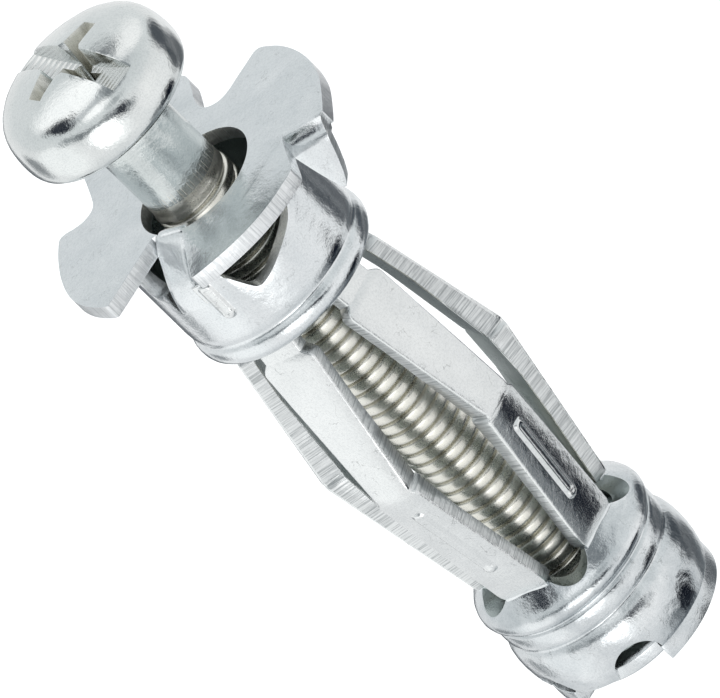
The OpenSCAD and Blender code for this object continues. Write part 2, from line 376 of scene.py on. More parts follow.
M_ZINC = zinc("zinc_sheet", (0.74, 0.77, 0.785), (0.85, 0.87, 0.88), 0.06, 0.17, 0.5, 0.4)
M_LEG = zinc("zinc_legs", (0.77, 0.785, 0.785), (0.86, 0.872, 0.87), 0.10, 0.20, 0.5, 0.3, 0.4)
M_TAIL = zinc("zinc_tail", (0.58, 0.615, 0.635), (0.84, 0.86, 0.87), 0.08, 0.19, 0.6, 0.9, 0.45)
# darker zinc for faces inside hollows: its colour is painted shade, not a different finish
M_INNER_SHADE = zinc("zinc_inside_painted_shade", (0.36, 0.41, 0.405), (0.52, 0.565, 0.555), 0.24, 0.40, 0.5, 0.4, 0.2)
M_EDGE_Z = sheared("sheared_edge_legs", (0.30, 0.30, 13.0), (0.42, 0.44, 0.445), (0.80, 0.815, 0.815))
M_EDGE_R = sheared("sheared_edge_plate", (11.0, 11.0, 0.30), (0.58, 0.60, 0.61), (0.85, 0.865, 0.875))
M_NUT = zinc("nut_zinc", (0.62, 0.655, 0.675), (0.80, 0.82, 0.83), 0.14, 0.30, 0.6, 0.5)
M_SCREW = zinc("screw_zinc", (0.75, 0.775, 0.77), (0.86, 0.875, 0.865), 0.04, 0.13, 0.45, 0.3, 0.15)
M_THREAD = zinc("thread_zinc", (0.75, 0.735, 0.665), (0.86, 0.845, 0.785), 0.23, 0.35, 0.3, 0.1, 0.1)
M_NECK = zinc("neck_zinc", (0.62, 0.665, 0.66), (0.78, 0.81, 0.80), 0.12, 0.26, 0.6, 0.9, 0.15)


def inside(ob, index, rmax=99.0):
    """Faces that look towards the axis take the darker inside material, whose colour is painted shade for the deep
    hollow.
    """
    for q in ob.data.polygons:
        c, n = q.center, q.normal
        r = math.hypot(c.x, c.y)
        if r > 1e-9 and r < rmax * MM and (c.x * n.x + c.y * n.y) / r < -0.35:
            q.material_index = index


def milled(name):
    """Slot floor: fine cutter lines across the slot."""
    m, nt, b, tc = nodes_of(name)
    b.inputs["Metallic"].default_value = 1.0
    b.inputs["Base Color"].default_value = (0.80, 0.81, 0.80, 1)
    mp = nt.nodes.new("ShaderNodeMapping")
    mp.inputs["Rotation"].default_value = (0, 0, -SLOT_AZ)
    nt.links.new(tc.outputs["Object"], mp.inputs["Vector"])
    w = nt.nodes.new("ShaderNodeTexWave")
    w.wave_type = "BANDS"
    w.bands_direction = "X"
    w.inputs["Scale"].default_value = 720
    w.inputs["Distortion"].default_value = 0.6
    w.inputs["Detail"].default_value = 1.0
    nt.links.new(mp.outputs["Vector"], w.inputs["Vector"])
    fac = w.outputs["Fac"]
    nt.links.new(rng(nt, fac, 0, 1, 0.20, 0.36), b.inputs["Roughness"])
    nt.links.new(bump(nt, fac, 0.00003, 0.8), b.inputs["Normal"])
    return m


M_MILL = milled("milled_slot")


def recess(name):
    """Punched cross recess: upright drag lines; the colour darkens towards the bottom as painted shade."""
    m, nt, b, tc = nodes_of(name)
    b.inputs["Metallic"].default_value = 1.0
    st = noise_tex(nt, mapped(nt, tc, (1, 1, 0.10)), 2600, 3, 0.65)
    sep = nt.nodes.new("ShaderNodeSeparateXYZ")
    nt.links.new(tc.outputs["Object"], sep.inputs[0])
    # painted shade: the colour ramp below darkens with depth into the recess
    depth = rng(nt, sep.outputs["Z"], (HEAD_Z + HEAD_H - 2.7) * MM, (HEAD_Z + HEAD_H - 0.45) * MM, 0.0, 1.0)
    add = nt.nodes.new("ShaderNodeMath")
    add.operation = "MULTIPLY_ADD"
    nt.links.new(st, add.inputs[0])
    add.inputs[1].default_value = 1.5
    nt.links.new(depth, add.inputs[2])
    half = nt.nodes.new("ShaderNodeMath")
    half.operation = "MULTIPLY"
    nt.links.new(add.outputs[0], half.inputs[0])
    half.inputs[1].default_value = 0.5
    nt.links.new(ramp(nt, half.outputs[0], [(0.30, (0.11, 0.11, 0.095)), (0.55, (0.38, 0.375, 0.33)),
                                            (0.90, (0.72, 0.715, 0.67))]), b.inputs["Base Color"])
    nt.links.new(rng(nt, st, 0.3, 0.7, 0.34, 0.16), b.inputs["Roughness"])
    nt.links.new(bump(nt, st, 0.00004, 0.7), b.inputs["Normal"])
    return m


M_RECESS_SHADED = recess("cross_recess_painted_shade")

# ------------------------------------------------------------------ screw
def build_screw():
    prof = [(0.001, 0.0), (3.2, 0.0), (4.6, 0.0), (4.74, 0.01), (4.9, 0.08), (5.03, 0.22), (5.11, 0.42),
            (5.155, 0.65), (5.175, 0.95), (5.17, 1.25), (5.15, 1.55), (5.11, 1.85), (5.05, 2.15), (4.96, 2.43),
            (4.83, 2.7), (4.65, 2.94), (4.4, 3.17), (4.05, 3.375), (3.6, 3.56), (3.05, 3.725), (2.4, 3.873),
            (1.7, 3.993), (1.0, 4.07), (0.4, 4.105), (0.001, 4.115)]
    head = revolve("screw_head", [(r, HEAD_Z + z) for r, z in prof], 160, [M_SCREW, M_MILL, M_RECESS_SHADED], 0, 50)
    top = HEAD_Z + HEAD_H
    rz = Matrix.Rotation(SLOT_AZ, 4, "Z")
    # slot: a disc-shaped cutter leaves a floor that is deepest in the middle
    n = 40
    pts = []
    for i in range(n + 1):
        x = -6.2 + 12.4 * i / n
        pts.append((x, top - 1.62 + 0.020 * x * x))
    pts += [(6.2, top + 3), (-6.2, top + 3)]
    sl = prism("c_slot", pts, -0.78, 0.78, [M_SCREW, M_MILL], 0,
               rz @ Matrix(((1, 0, 0, 0), (0, 0, -1, 0), (0, 1, 0, 0), (0, 0, 0, 1))), 1)
    cutters = [sl]
    # cross recess: four tapering wings and a conical middle
    for k in range(4):
        a = Matrix.Rotation(SLOT_AZ + k * math.pi / 2, 4, "Z")
        L, w0, w1, w2 = (2.8, 1.0, 0.62, 0.26) if k % 2 else (2.75, 0.52, 0.52, 0.30)
        v = [(-0.3, -w0, top + 0.6), (L + 0.25, -w1, top + 0.6), (L + 0.25, w1, top + 0.6), (-0.3, w0, top + 0.6),
             (-0.3, -w2, top - 2.95), (1.0, -w2, top - 2.95), (1.0, w2, top - 2.95), (-0.3, w2, top - 2.95)]
        f = [(0, 1, 2, 3), (7, 6, 5, 4), (0, 4, 5, 1), (1, 5, 6, 2), (2, 6, 7, 3), (3, 7, 4, 0)]
        c = new_obj("c_wing", [tuple(a @ Vector(p)) for p in v], f, [M_RECESS_SHADED])
        fix_normals(c)
        cutters.append(c)
    cone = revolve("c_cone", [(0.001, top - 3.15), (0.62, top - 2.8), (1.42, top + 0.6), (0.001, top + 0.6)], 32, [M_SCREW])
    cutters.append(cone)
    cut(head, cutters)
    bevel(head, 0.07, 2, 30)
    soft(head, 38)
    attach(head, "screw")
    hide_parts("screw")

    # neck, shoulder and a true right-hand helical thread down to the point
    S = 72
    z_start = 1.05
    core = THREAD_R - 0.30
    ph = [(-0.50, 0.0), (-0.46, 0.03), (-0.40, 0.50), (-0.35, 0.86), (-0.29, 0.955), (-0.16, 0.985), (0.0, 1.0),
          (0.16, 0.985), (0.32, 0.95), (0.37, 0.86), (0.41, 0.50), (0.46, 0.03)]
    N = len(ph)
    verts, faces = [], []
    turns = int((z_start - TIP_Z) / PITCH) + 3

    def radius(z, h):
        r = core + (THREAD_R - core) * h
        f = min(1.0, max(0.0, (z_start - z) / 0.75))           # thread fades in below the neck
        f = f * f * (3 - 2 * f)
        base = NECK_R if z > z_start - 0.1 else NECK_R - 0.02
        r = base + (r - base) * f
        lim = 1.62 + max(0.0, (z - TIP_Z)) * 1.1                # pointed end
        return min(r, lim)

    rows = []
    for k in range(turns * N):
        j, i0 = divmod(k, N)
        off, h = ph[i0]
        rows.append((z_start + 1.0 - j * PITCH - (off + 0.5) * PITCH, h))
    ztop = z_start + 1.05
    for z0, h in rows:
        for i in range(S):
            a = TAU * i / S
            z = z0 + PITCH * i / S
            zc = min(max(z, TIP_Z), ztop)
            r = radius(zc, h)
            verts.append((r * math.cos(a), r * math.sin(a), zc))
    R = len(rows)
    for k in range(R - 1):
        for i in range(S - 1):
            faces.append((k * S + i, k * S + i + 1, (k + 1) * S + i + 1, (k + 1) * S + i))
        # the seam joins each row to the one a full turn on
        if k - N >= 0:
            faces.append((k * S + S - 1, (k - N) * S, (k - N + 1) * S, (k + 1) * S + S - 1))
    # closing turns at both ends collapse on to flat rings
    for k in range(R - N, R - 1):
        faces.append((k * S + S - 1, k * S, (k + 1) * S, (k + 1) * S + S - 1))
    shank = new_obj("screw_thread", verts, faces, [M_THREAD, M_SCREW], None, 60)
    bm = bmesh.new()
    bm.from_mesh(shank.data)
    bmesh.ops.remove_doubles(bm, verts=bm.verts, dist=3e-7)
    bmesh.ops.dissolve_degenerate(bm, edges=bm.edges, dist=2e-7)
    bmesh.ops.holes_fill(bm, edges=[e for e in bm.edges if e.is_boundary], sides=0)
    bmesh.ops.recalc_face_normals(bm, faces=bm.faces)
    bm.to_mesh(shank.data)
    bm.free()
    soft(shank, 55)
    neck = revolve("screw_neck", [(0.001, HEAD_Z + 0.3), (0.001, z_start - 0.6), (2.0, z_start - 0.6), (2.22, z_start - 0.1),
                                  (NECK_R - 0.03, z_start + 0.12), (NECK_R, z_start + 0.4),
                                  (NECK_R, HEAD_Z - 0.55), (NECK_R + 0.03, HEAD_Z - 0.3), (NECK_R + 0.12, HEAD_Z - 0.12),
                                  (NECK_R + 0.32, HEAD_Z + 0.0), (NECK_R + 0.32, HEAD_Z + 0.3)], 120, [M_NECK], 0, 50)
    for o in (shank, neck):
        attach(o, "screw")
    return head


build_screw()


# ------------------------------------------------------------------ legs
def cross(w, t, r_out, r_in):
    """Cross-section of the sheet, across x depth: outer face at depth 0, inner at -t. Rolled-over outer corners."""
    k = 0.30
    return [(-w, -r_out, 1), (-w + k * r_out, -k * r_out, 0), (-w + r_out, 0, 0),
            (w - r_out, 0, 0), (w - k * r_out, -k * r_out, 1), (w, -r_out, 1),
            (w, -t + r_in, 0), (w - r_in, -t, 0), (-w + r_in, -t, 1), (-w, -t + r_in, 0)]


def leg_mesh(name, az, rows, caps=(True, True)):
    """rows: (outer point (r, z), inner point (r, z), half width). A closed strip of sheet along the rows."""
    er = np.array((math.cos(az), math.sin(az), 0.0))
    et = np.array((-math.sin(az), math.cos(az), 0.0))
    ez = np.array((0, 0, 1.0))
    verts, faces, fm = [], [], []
    for (po, pi, w) in rows:
        t = math.dist(po, pi)
        for (x, d, _) in cross(w, 1.0, 0.14, 0.05):
            f = -d                         # 0 at the outer face, 1 at the inner
            r = po[0] + (pi[0] - po[0]) * f
            z = po[1] + (pi[1] - po[1]) * f
            verts.append(er * r + et * x + ez * z)
    C = 10
    side = {4: 1, 5: 1, 6: 0, 9: 1, 0: 0, 3: 0}
    for k in range(len(rows) - 1):
        for j in range(C):
            l = (j + 1) % C
            faces.append((k * C + j, k * C + l, (k + 1) * C + l, (k + 1) * C + j))
            # the inner face (j == 7) takes the darker inside material: painted shade
            fm.append(1 if j in (5, 9) else 2 if j == 7 else 0)
    if caps[0]:
        faces.append(tuple(range(C))); fm.append(1)
    if caps[1]:
        faces.append(tuple(range((len(rows) - 1) * C, len(rows) * C))[::-1]); fm.append(1)
    ob = new_obj(name, verts, faces, [M_LEG, M_EDGE_Z, M_INNER_SHADE], fm, 40)
    fix_normals(ob)
    soft(ob, 42)
    return ob


def lerp(a, b, t):
    return a + (b - a) * t


def path_point(z, upper):
    """Outer and inner face points of a half leg at the height z of its outer face."""
    s = math.tan(LEAN)
    r = FOLD_R + ((ROOT_Z - z) if upper else (z - FOOT_Z)) * s
    sgn = 1 if upper else -1
    n = (math.cos(LEAN), sgn * math.sin(LEAN))
    t = SHEET + 0.44 * max(0.0, 1 - abs(z - KNEE_Z) / (6.0 if upper else 3.5))
    return (r, z), (r - t * n[0], z - t * n[1])


def upper_w(z):
    d = ROOT_Z - z                                  # distance below the root fold
    if d < 0.85:
        return 1.2
    if d < 1.5:
        t = (d - 0.85) / 0.65
        return lerp(1.2, ROOT_HW, math.sin(t * math.pi / 2))
    return lerp(ROOT_HW, KNEE_HW + 0.03, (d - 1.5) / (HALF_H - 1.5))


def lower_w(z):
    d = z - FOOT_Z
    if d > HALF_H - 0.45:
        return lerp(KNEE_HW + 0.03, KNEE_HW + 0.2, (HALF_H - d) / 0.45)
    if d < 0.3:
        return lerp(FOOT_HW - 0.1, FOOT_HW, max(0.0, d) / 0.3)
    return lerp(FOOT_HW, KNEE_HW + 0.2, (d - 0.3) / (HALF_H - 0.75))


def build_leg(i):
    az = leg_az(i)
    zm = ROOT_Z - 4.6
    # --- root strip: from inside the bead, through the root fold, into the upper half
    rows = []
    for z in (ROOT_Z + 0.5, ROOT_Z + 0.35, ROOT_Z + 0.2):
        rows.append(((FOLD_R, z), (FOLD_R - SHEET, z), 1.2))
    n = 8
    for k in range(n + 1):
        t = k / n
        a = LEAN * t
        c = (FOLD_R + 0.0, ROOT_Z + 0.16 - 0.32 * t)
        po = (FOLD_R + 0.02 * t * t, c[1])
        rows.append((po, (po[0] - SHEET * math.cos(a), po[1] - SHEET * math.sin(a) * t), 1.2))
    zs = [ROOT_Z - 0.3, ROOT_Z - 0.55, ROOT_Z - 0.8] + [ROOT_Z - 0.85 - 0.65 * k / 6 for k in range(7)]
    zs += list(np.linspace(ROOT_Z - 1.8, zm, 6))
    for z in zs:
        po, pi = path_point(z, True)
        rows.append((po, pi, upper_w(z)))
    a = leg_mesh(f"leg_root_{i}", az, rows)
    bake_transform(a)
    # --- knee strip: the rest of the upper half, the knee and the whole lower half
    rows = []
    hinge = (FOLD_R + HALF_H * math.tan(LEAN) - SHEET / math.cos(LEAN), KNEE_Z)
    inner = hinge[0] - 0.41
    for z in np.linspace(zm, KNEE_Z + 0.55, 9):
        po, pi = path_point(z, True)
        rows.append((po, pi, upper_w(z)))
    R = SHEET + 0.0
    for k in range(11):                                   # rounded outer corner about the inner fold line
        ang = LEAN - 2 * LEAN * k / 10
        corner = (hinge[0] + SHEET / math.cos(LEAN), KNEE_Z)
        arc = (hinge[0] + SHEET * math.cos(ang), hinge[1] + SHEET * math.sin(ang))
        po = (lerp(arc[0], corner[0], 0.35), lerp(arc[1], corner[1], 0.0))
        w = KNEE_HW + 0.03 - 0.02 * math.cos((k / 10 - 0.5) * math.pi)
        rows.append((po, (inner, hinge[1] + 0.004 * (5 - k)), w))
    for z in (KNEE_Z - 0.3, KNEE_Z - 0.45, KNEE_Z - 0.6, KNEE_Z - 1.2, KNEE_Z - 3, KNEE_Z - 6, FOOT_Z + 1.0, FOOT_Z + 0.3, FOOT_Z + 0.04):
        po, pi = path_point(z, False)
        if z == FOOT_Z + 0.04:
            pi = (pi[0], FOOT_Z + 0.04)
            pi = (FOLD_R + 0.04 * math.tan(LEAN) - SHEET / math.cos(LEAN), FOOT_Z + 0.04)
        rows.append((po, pi, lower_w(z)))
    b = leg_mesh(f"leg_{i}", az, rows)
    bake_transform(b)
    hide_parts(f"upper_leg_{i}", f"lower_leg_{i}")
    # --- hairpin rib pressed out of the lower half: height field with its own rounded ridges
    build_rib(f"leg_rib_{i}", az, i)


def rib_height(x, y, L, w):
    """Pressed-out rib: flat-topped ridge with rounded sides; x across, y from 0 to L (domed end)."""
    half = w / 2
    e = L - half
    d = abs(x) if half < y < e else math.hypot(x, y - e) if y >= e else math.hypot(x, half - y)
    t = min(1.0, max(0.0, (half + 0.17 - d) / 0.30))
    h = t * t * (3 - 2 * t) * 0.8
    q = math.hypot(x, y - e) / half                    # the end stands a little higher
    if q < 1:
        h = max(h, 0.8 + 0.2 * (1 - q * q))
    if half < y < e:
        h -= 0.16 * max(0.0, 1 - (x / (half * 0.62)) ** 2)
    return max(0.0, h)


def height_patch(name, place, W, L, hfun, hmax, nx, ny, sink=0.05):
    """Closed thin patch: a raised relief on top, a flat underside sunk a little into the sheet."""
    verts, faces = [], []
    for j in range(ny + 1):
        for i in range(nx + 1):
            x, y = -W / 2 + W * i / nx, L * j / ny
            edge = i in (0, nx) or j in (0, ny)
            h = -0.03 if edge else hfun(x, y) * hmax + (-0.012)
            verts.append(place(x, y, h))
    for j in range(ny + 1):
        for i in range(nx + 1):
            x, y = -W / 2 + W * i / nx, L * j / ny
            verts.append(place(x, y, -sink))
    n1 = (nx + 1) * (ny + 1)
    q = lambda i, j: j * (nx + 1) + i
    for j in range(ny):
        for i in range(nx):
            faces.append((q(i, j), q(i + 1, j), q(i + 1, j + 1), q(i, j + 1)))
            faces.append((n1 + q(i, j), n1 + q(i, j + 1), n1 + q(i + 1, j + 1), n1 + q(i + 1, j)))
    for i in range(nx):
        faces.append((q(i, 0), n1 + q(i, 0), n1 + q(i + 1, 0), q(i + 1, 0)))
        faces.append((q(i, ny), q(i + 1, ny), n1 + q(i + 1, ny), n1 + q(i, ny)))
    for j in range(ny):
        faces.append((q(0, j), q(0, j + 1), n1 + q(0, j + 1), n1 + q(0, j)))
        faces.append((q(nx, j), n1 + q(nx, j), n1 + q(nx, j + 1), q(nx, j + 1)))
    ob = new_obj(name, verts, faces, [M_LEG], None, 75)
    fix_normals(ob)
    soft(ob, 75)
    return ob


def build_rib(name, az, i):
    er = np.array((math.cos(az), math.sin(az), 0.0))
    et = np.array((-math.sin(az), math.cos(az), 0.0))
    ez = np.array((0, 0, 1.0))
    down = -er * math.sin(LEAN) - ez * math.cos(LEAN)
    nrm = er * math.cos(LEAN) - ez * math.sin(LEAN)
    corner = er * (FOLD_R + HALF_H * math.tan(LEAN)) + ez * KNEE_Z
    start = corner + down * 1.75

    def place(x, y, h):
        return start + et * x + down * y + nrm * h

    ob = height_patch(name, place, 1.4, 6.45, lambda x, y: rib_height(x, y - 0.1, 6.1, 0.62) if y > 0.1 else 0.0,
                      0.19, 30, 100)
    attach(ob, f"lower_{i}")


for i in range(1, 6):
    build_leg(i)

# ------------------------------------------------------------------ collar wall
def arc(cx, cz, r, a0, a1, n):
    return [(cx + r * math.cos(math.radians(lerp(a0, a1, k / n))), cz + r * math.sin(math.radians(lerp(a0, a1, k / n))))
            for k in range(n + 1)]


def build_collar():
    out = [(5.62, 0.05), (5.56, -0.1), (5.52, -0.3), (5.5, -0.6), (5.5, -2.0), (5.5, -3.8),
           (5.5, -5.2), (5.48, -5.5), (5.43, -5.7), (5.38, -5.84), (5.37, -5.92), (5.39, -6.0), (5.45, -6.1),
           (5.54, -6.22), (5.6, -6.4), (5.62, -6.62), (5.61, -6.85), (5.55, -7.06), (5.42, -7.24), (5.2, -7.38), (4.9, -7.47),
           (4.6, -7.52), (4.36, -7.54)]
    inn = [(3.62, -7.54), (3.5, -7.5), (3.46, -7.4), (3.52, -7.27), (3.8, -7.1), (4.2, -6.85), (4.45, -6.6), (4.5, -6.4),
           (4.44, -6.15), (4.42, -5.95), (4.5, -5.7), (4.6, -5.45), (4.6, -0.5), (4.6, 0.3), (4.6, 0.5), (5.62, 0.5)]
    wall = revolve("collar_wall", out + inn, 200, [M_ZINC, M_EDGE_R, M_INNER_SHADE], 0, 40)
    # inward faces take the darker inside material: painted shade
    inside(wall, 2)
    cutters = []

    def win(az_deg, pts, r0, r1):
        cutters.append(prism("c_win", pts, r0, r1, [M_EDGE_R], 0, radial_xf(math.radians(az_deg))))

    # V-shaped opening under the front lobe
    win(10, smooth_outline([(-2.8, 1.2, 1), (-2.6, -1.55), (-2.38, -2.1), (-2.12, -2.65), (-1.82, -3.22), (-1.62, -3.45), (-1.3, -3.5),
                            (-0.58, -3.3), (0.42, -2.86), (1.38, -2.43), (1.97, -2.08), (2.4, -1.6), (2.7, -0.8), (2.9, 1.2, 1)], 4), 2.0, 7.0)
    # slit beyond the finger
    win(-66, smooth_outline([(-0.55, 1.2, 1), (-0.4, -0.9), (-0.1, -1.55), (0.25, -1.7), (0.6, -1.5), (0.9, 1.2, 1)], 4), 3.0, 7.0)
    cut(wall, cutters)
    bevel(wall, 0.08, 2, 38)
    cutters = []
    # room for the finger
    win(-46.5, [(-1.5, 1.2), (-1.34, -1.0), (-1.2, -2.0), (-1.17, -2.96), (1.12, -2.96), (1.02, -1.95), (1.2, -1.55), (2.2, -1.2), (2.62, -0.6), (2.7, 1.2)], 3.2, 7.0)
    cut(wall, cutters)
    soft(wall, 38)
    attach(wall, "collar")
    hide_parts("sleeve_collar")

    # --- flange plate
    outline = [(3.95, 5.3, 1), (3.5, 5.51, 1), (4.6, 7.87, 1),
               (3.7, 8.18), (2.0, 8.66), (1.0, 8.8), (0.0, 8.84), (-0.9, 8.8), (-1.9, 8.64), (-2.9, 8.38), (-3.9, 7.98), (-4.7, 7.5),
               (-5.08, 7.22), (-5.24, 6.98), (-5.2, 6.65), (-4.86, 6.0), (-4.45, 5.2), (-4.1, 4.55), (-3.97, 3.95), (-4.15, 3.4),
               (-4.55, 3.0), (-5.1, 2.82), (-6.0, 2.83), (-7.0, 3.02), (-8.0, 3.16), (-8.6, 3.1), (-8.92, 2.85),
               (-9.13, 2.2), (-9.315, 1.2), (-9.394, 0.0), (-9.315, -1.2), (-9.08, -2.4), (-8.65, -3.55), (-8.4, -3.95), (-8.0, -4.2),
               (-7.2, -4.3), (-6.4, -4.4), (-5.7, -4.5), (-5.1, -4.63), (-4.68, -4.95), (-4.5, -5.5), (-4.62, -6.1), (-4.85, -6.6),
               (-4.88, -6.98), (-4.6, -7.22), (-3.5, -7.66), (-2.2, -8.02), (-1.2, -8.2), (-0.2, -8.29), (0.8, -8.27), (1.8, -8.08),
               (2.8, -7.72), (3.6, -7.28), (4.0, -6.98), (3.98, -6.72), (3.1, -5.1), (2.0, -3.08, 1),
               (2.3, -1.75, 1), (3.67, -1.58, 1), (5.0, -1.9), (6.5, -2.25), (7.7, -2.52), (8.02, -2.5), (8.14, -2.2), (8.3, -1.2),
               (8.38, 0.0), (8.34, 1.1), (8.16, 2.15), (7.83, 3.15), (7.4, 4.0), (7.05, 4.62), (6.82, 4.82), (6.4, 4.93), (5.2, 5.1)]
    pts = smooth_outline(outline, 5)
    plate = prism("flange_plate", pts, 0.0, SHEET, [M_ZINC, M_EDGE_R], 0, None, 1)
    n = 96
    hole = prism("c_hole", [(0.55 + HOLE_R * math.cos(TAU * k / n), 0.4 + HOLE_R * math.sin(TAU * k / n)) for k in range(n)],
                 -1, 2, [M_EDGE_R], 0)
    cut(plate, [hole])
    bevel(plate, 0.12, 3, 40, 0.55)
    soft(plate, 35)
    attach(plate, "collar")

    # --- claw: sheet rolled over the fold line and drawn down to a point
    f0 = Vector((3.95, 5.3, 0))
    ang = math.radians(65)
    along = Vector((math.cos(ang), math.sin(ang), 0))
    outw = Vector((math.sin(ang), -math.cos(ang), 0))     # away from the lobe
    B = 1.12                                              # bend radius of the outer face
    path = [(-0.95, SHEET - 0.16, 1.0, 0.0), (-0.75, SHEET - 0.012, 1.0, 0.0), (-0.6, SHEET + 0.003, 1.0, 0.0)]
    for k in range(13):
        a = math.pi / 2 * k / 12
        path.append((-0.47 + B * math.sin(a), SHEET + 0.003 - B + B * math.cos(a), math.cos(a), math.sin(a)))
    for z in (-0.4, -0.6, -1.0, -1.4, -1.8, -2.15, -2.45, -2.7, -2.88, -2.98):
        path.append((0.65, z, 0.0, 1.0))

    def span(z):
        """Where the claw begins and ends along the fold line at height z."""
        def tab(q):
            for (za, sa), (zb, sb) in zip(q, q[1:]):
                if z >= zb:
                    return lerp(sa, sb, min(1.0, max(0.0, (z - za) / (zb - za))))
            return q[-1][1]
        return (tab([(2, 0.0), (0.55, 0.0), (0.2, 0.1), (-0.7, 0.3), (-1.55, 0.5), (-2.7, 0.83), (-3.0, 1.02)]),
                tab([(2, 2.5), (0.3, 2.47), (-0.23, 2.3), (-1.2, 1.98), (-2.15, 1.6), (-2.8, 1.28), (-3.0, 1.12)]))
    verts, faces, fm = [], [], []
    T = SHEET * 0.97
    for (x, z, nz, nx) in path:
        i0, i1 = span(z)
        for s in (i0, lerp(i0, i1, 0.33), lerp(i0, i1, 0.67), i1):
            verts.append(f0 + along * s + outw * x + Vector((0, 0, z)))
        for s in (i1, lerp(i0, i1, 0.67), lerp(i0, i1, 0.33), i0):
            verts.append(f0 + along * s + outw * (x - T * nx) + Vector((0, 0, max(z - T * nz, 0.01 if nz > 0.9 else -9))))
    C = 8
    for k in range(len(path) - 1):
        for j in range(C):
            l = (j + 1) % C
            faces.append((k * C + j, k * C + l, (k + 1) * C + l, (k + 1) * C + j))
            fm.append(1 if j in (3, 7) else 0)
    faces.append(tuple(range(C)))
    fm.append(0)
    faces.append(tuple(range((len(path) - 1) * C, len(path) * C))[::-1])
    fm.append(1)
    claw = new_obj("flange_claw", verts, faces, [M_ZINC, M_EDGE_Z], fm)
    fix_normals(claw)
    bevel(claw, 0.09, 2, 50)
    soft(claw, 40)
    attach(claw, "collar")

    # --- finger: strip of wall that leans in and rolls over at the edge of the hole
    az = math.radians(-45.8)
    op = [(5.45, -3.75), (5.475, -3.45), (5.49, -3.2)]
    op += smooth_outline([(5.499, -3.0, 1), (5.502, -2.85), (5.44, -2.45), (5.3, -2.03), (5.13, -1.64), (4.93, -1.25), (4.7, -0.88),
                          (4.45, -0.5), (4.2, -0.12), (4.02, 0.2), (3.88, 0.47), (3.76, 0.68), (3.62, 0.83), (3.44, 0.91),
                          (3.25, 0.92), (3.1, 0.86, 1)], 3, closed=False)
    op.append((3.02, 0.8))
    wt = [(-3.8, 0.0, 1.25), (-3.0, 0.0, 1.22), (-2.8, 0.0, 1.18), (-1.94, -0.04, 1.02), (-1.2, -0.02, 0.95), (-0.46, 0.08, 0.98),
          (0.1, 0.2, 1.07), (0.7, 0.5, 1.1), (0.92, 0.62, 1.06)]

    def width(z):
        for (za, ca, wa), (zb, cb, wb) in zip(wt, wt[1:]):
            if z <= zb:
                t = (z - za) / (zb - za)
                return lerp(ca, cb, t), lerp(wa, wb, t)
        return wt[-1][1:]
    verts, faces, fm = [], [], []
    R = len(op)
    cols = [(-1, 0.13), (-0.975, 0.045), (-0.91, 0.0), (-0.6, 0.0), (-0.3, 0.0), (0, 0.0), (0.3, 0.0), (0.6, 0.0), (0.91, 0.0), (0.975, 0.045), (1, 0.13),
            (1, 0.78), (0.95, 0.85), (0.5, 0.85), (0, 0.85), (-0.5, 0.85), (-0.95, 0.85), (-1, 0.78)]
    C = len(cols)
    for k, (r, z) in enumerate(op):
        k0, k1 = max(0, k - 1), min(R - 1, k + 1)
        d = np.array(op[k1]) - np.array(op[k0])
        d = d / np.linalg.norm(d)
        nrm = np.array((-d[1], d[0]))                     # points to the inner side
        c0, w = width(z) if r > 3.45 else (0.62, lerp(0.9, 1.06, (r - 3.0) / 0.45))
        for (u, dep) in cols:
            q = np.array((r, z)) + nrm * dep
            flat = min(1.0, max(0.0, (5.5 - r) / 0.5))
            x = c0 + u * w
            bow = (1 - flat) * (math.sqrt(max(0.0, r * r - x * x)) - r)
            X, Y = q[0] + bow, x
            a = az
            verts.append((X * math.cos(a) - Y * math.sin(a), X * math.sin(a) + Y * math.cos(a), q[1]))
            continue
            verts.append((q[0] * math.cos(a), q[0] * math.sin(a), q[1]))
    for k in range(R - 1):
        for j in range(C):
            l = (j + 1) % C
            faces.append((k * C + j, k * C + l, (k + 1) * C + l, (k + 1) * C + j))
            fm.append(1 if j in (10, 17) else 0)
    faces.append(tuple(range(C))); fm.append(1)
    faces.append(tuple(range((R - 1) * C, R * C))[::-1]); fm.append(1)
    fing = new_obj("collar_finger", verts, faces, [M_ZINC, M_EDGE_Z], fm)
    fix_normals(fing)
    soft(fing, 42)
    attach(fing, "collar")

    # rib pressed into the wall beside the finger's foot
    azr = math.radians(-30.2)

    def place(x, y, h):
        z = -1.5 - y
        a = azr + x / 5.5
        r = 5.5 + h
        return np.array((r * math.cos(a), r * math.sin(a), z))

    rib = height_patch("collar_rib", place, 1.3, 2.75, lambda x, y: rib_height(x, y - 0.1, 2.45, 0.62) if y > 0.1 else 0.0,
                       0.2, 36, 90, 0.12)
    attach(rib, "collar")


build_collar()

